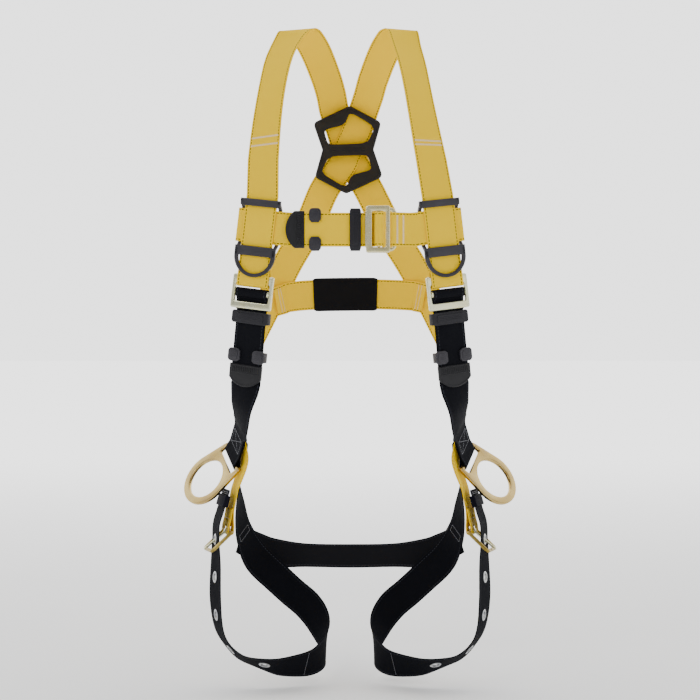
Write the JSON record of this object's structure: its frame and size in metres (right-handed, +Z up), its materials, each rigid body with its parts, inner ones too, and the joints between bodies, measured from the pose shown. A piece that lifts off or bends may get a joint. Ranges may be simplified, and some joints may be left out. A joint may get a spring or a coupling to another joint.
{
  "type": "full-body safety harness",
  "caption": "Full-body fall-arrest harness of flat webbing with crossed shoulder straps, chest strap, leg loops, attachment rings, sliders and buckles.",
  "frame": {"origin": "where the shoulder straps rest on the shoulders, on the mid-plane", "axes": "+Z up, -Y the way the wearer faces, +X the wearer's left"},
  "size_m": [0.4764, 0.3507, 0.915],
  "materials": {
    "yellow_webbing": "woven",
    "black_webbing": "woven",
    "black_plastic": "satin",
    "zinc_plated_steel": "satin",
    "gold_plated_steel": "satin"
  },
  "bodies": {
    "webbing": {"main_strap_right": "yellow_webbing", "main_strap_left": "yellow_webbing", "chest_strap_right": "yellow_webbing", "chest_strap_left": "yellow_webbing", "lumbar_strap": "yellow_webbing", "lumbar_sleeve": "black_webbing", "torso_strap_right": "black_webbing", "torso_strap_left": "black_webbing", "leg_strap_right": "black_webbing", "leg_strap_left": "black_webbing", "seat_strap": "black_webbing", "dorsal_plate": "black_plastic", "lanyard_slider_right": "black_plastic", "lanyard_slider_left": "black_plastic", "chest_buckle_frame": "zinc_plated_steel", "chest_buckle_link": "zinc_plated_steel", "chest_end_cap": "black_plastic", "torso_adjuster_right": "zinc_plated_steel", "torso_adjuster_left": "zinc_plated_steel", "torso_end_cap_right": "black_plastic", "torso_end_cap_left": "black_plastic", "leg_eyelets_right": "zinc_plated_steel", "leg_eyelets_left": "zinc_plated_steel"},
    "dorsal_ring": {"dorsal_d_ring": "gold_plated_steel"},
    "chest_bar_slide": {"chest_bar_keeper": "black_plastic"},
    "chest_clip_slide": {"chest_clip_keeper": "black_plastic"},
    "side_ring_right": {"side_d_ring_right": "gold_plated_steel"},
    "leg_frame_right": {"leg_buckle_frame_right": "zinc_plated_steel"},
    "leg_tongue_right": {"leg_buckle_tongue_right": "zinc_plated_steel"},
    "torso_bar_slide_right": {"torso_bar_keeper_right": "black_plastic"},
    "torso_clip_slide_right": {"torso_clip_keeper_right": "black_plastic"},
    "leg_keeper_slide_right": {"leg_keeper_right": "black_plastic"},
    "side_ring_left": {"side_d_ring_left": "gold_plated_steel"},
    "leg_frame_left": {"leg_buckle_frame_left": "zinc_plated_steel"},
    "leg_tongue_left": {"leg_buckle_tongue_left": "zinc_plated_steel"},
    "torso_bar_slide_left": {"torso_bar_keeper_left": "black_plastic"},
    "torso_clip_slide_left": {"torso_clip_keeper_left": "black_plastic"},
    "leg_keeper_slide_left": {"leg_keeper_left": "black_plastic"}
  },
  "joints": [
    {"name": "dorsal_ring_hinge", "type": "hinge", "parent": "webbing", "child": "dorsal_ring", "pos_m": [-0.003, 0.1225, -0.155], "axis": [1, 0, 0], "range_deg": [0, 80]},
    {"name": "chest_bar_keeper_slide", "type": "slide", "parent": "webbing", "child": "chest_bar_slide", "axis": [1, 0, 0], "range_m": [-0.02, 0]},
    {"name": "chest_clip_keeper_slide", "type": "slide", "parent": "webbing", "child": "chest_clip_slide", "axis": [1, 0, 0], "range_m": [0, 0.014]},
    {"name": "side_ring_hinge_right", "type": "hinge", "parent": "webbing", "child": "side_ring_right", "pos_m": [-0.166, 0, -0.607], "axis": [-0.3324, 0.749, 0.5731], "range_deg": [0, 110]},
    {"name": "leg_frame_hinge_right", "type": "hinge", "parent": "webbing", "child": "leg_frame_right", "pos_m": [-0.171, -0.025, -0.708], "axis": [-0.287, 0.9567, -0.0478], "range_deg": [0, 2.5]},
    {"name": "leg_tongue_hinge_right", "type": "hinge", "parent": "leg_frame_right", "child": "leg_tongue_right", "pos_m": [-0.171, -0.025, -0.708], "axis": [-0.287, 0.9567, -0.0478], "range_deg": [0, 1.2]},
    {"name": "torso_bar_keeper_slide_right", "type": "slide", "parent": "webbing", "child": "torso_bar_slide_right", "axis": [0.0991, -0.0892, 0.9911], "range_m": [-0.012, 0]},
    {"name": "torso_clip_keeper_slide_right", "type": "slide", "parent": "webbing", "child": "torso_clip_slide_right", "axis": [0.0991, -0.0892, 0.9911], "range_m": [0, 0.016]},
    {"name": "leg_keeper_slide_right", "type": "slide", "parent": "webbing", "child": "leg_keeper_slide_right", "axis": [0.272, 0.1007, 0.957], "range_m": [-0.003, 0.002]},
    {"name": "side_ring_hinge_left", "type": "hinge", "parent": "webbing", "child": "side_ring_left", "pos_m": [0.166, 0, -0.607], "axis": [-0.3324, -0.749, -0.5731], "range_deg": [0, 110]},
    {"name": "leg_frame_hinge_left", "type": "hinge", "parent": "webbing", "child": "leg_frame_left", "pos_m": [0.171, -0.025, -0.708], "axis": [-0.287, -0.9567, 0.0478], "range_deg": [0, 2.5]},
    {"name": "leg_tongue_hinge_left", "type": "hinge", "parent": "leg_frame_left", "child": "leg_tongue_left", "pos_m": [0.171, -0.025, -0.708], "axis": [-0.287, -0.9567, 0.0478], "range_deg": [0, 1.2]},
    {"name": "torso_bar_keeper_slide_left", "type": "slide", "parent": "webbing", "child": "torso_bar_slide_left", "axis": [-0.0991, -0.0892, 0.9911], "range_m": [-0.012, 0]},
    {"name": "torso_clip_keeper_slide_left", "type": "slide", "parent": "webbing", "child": "torso_clip_slide_left", "axis": [-0.0991, -0.0892, 0.9911], "range_m": [0, 0.016]},
    {"name": "leg_keeper_slide_left", "type": "slide", "parent": "webbing", "child": "leg_keeper_slide_left", "axis": [-0.272, 0.1007, 0.957], "range_m": [-0.003, 0.002]}
  ]
}
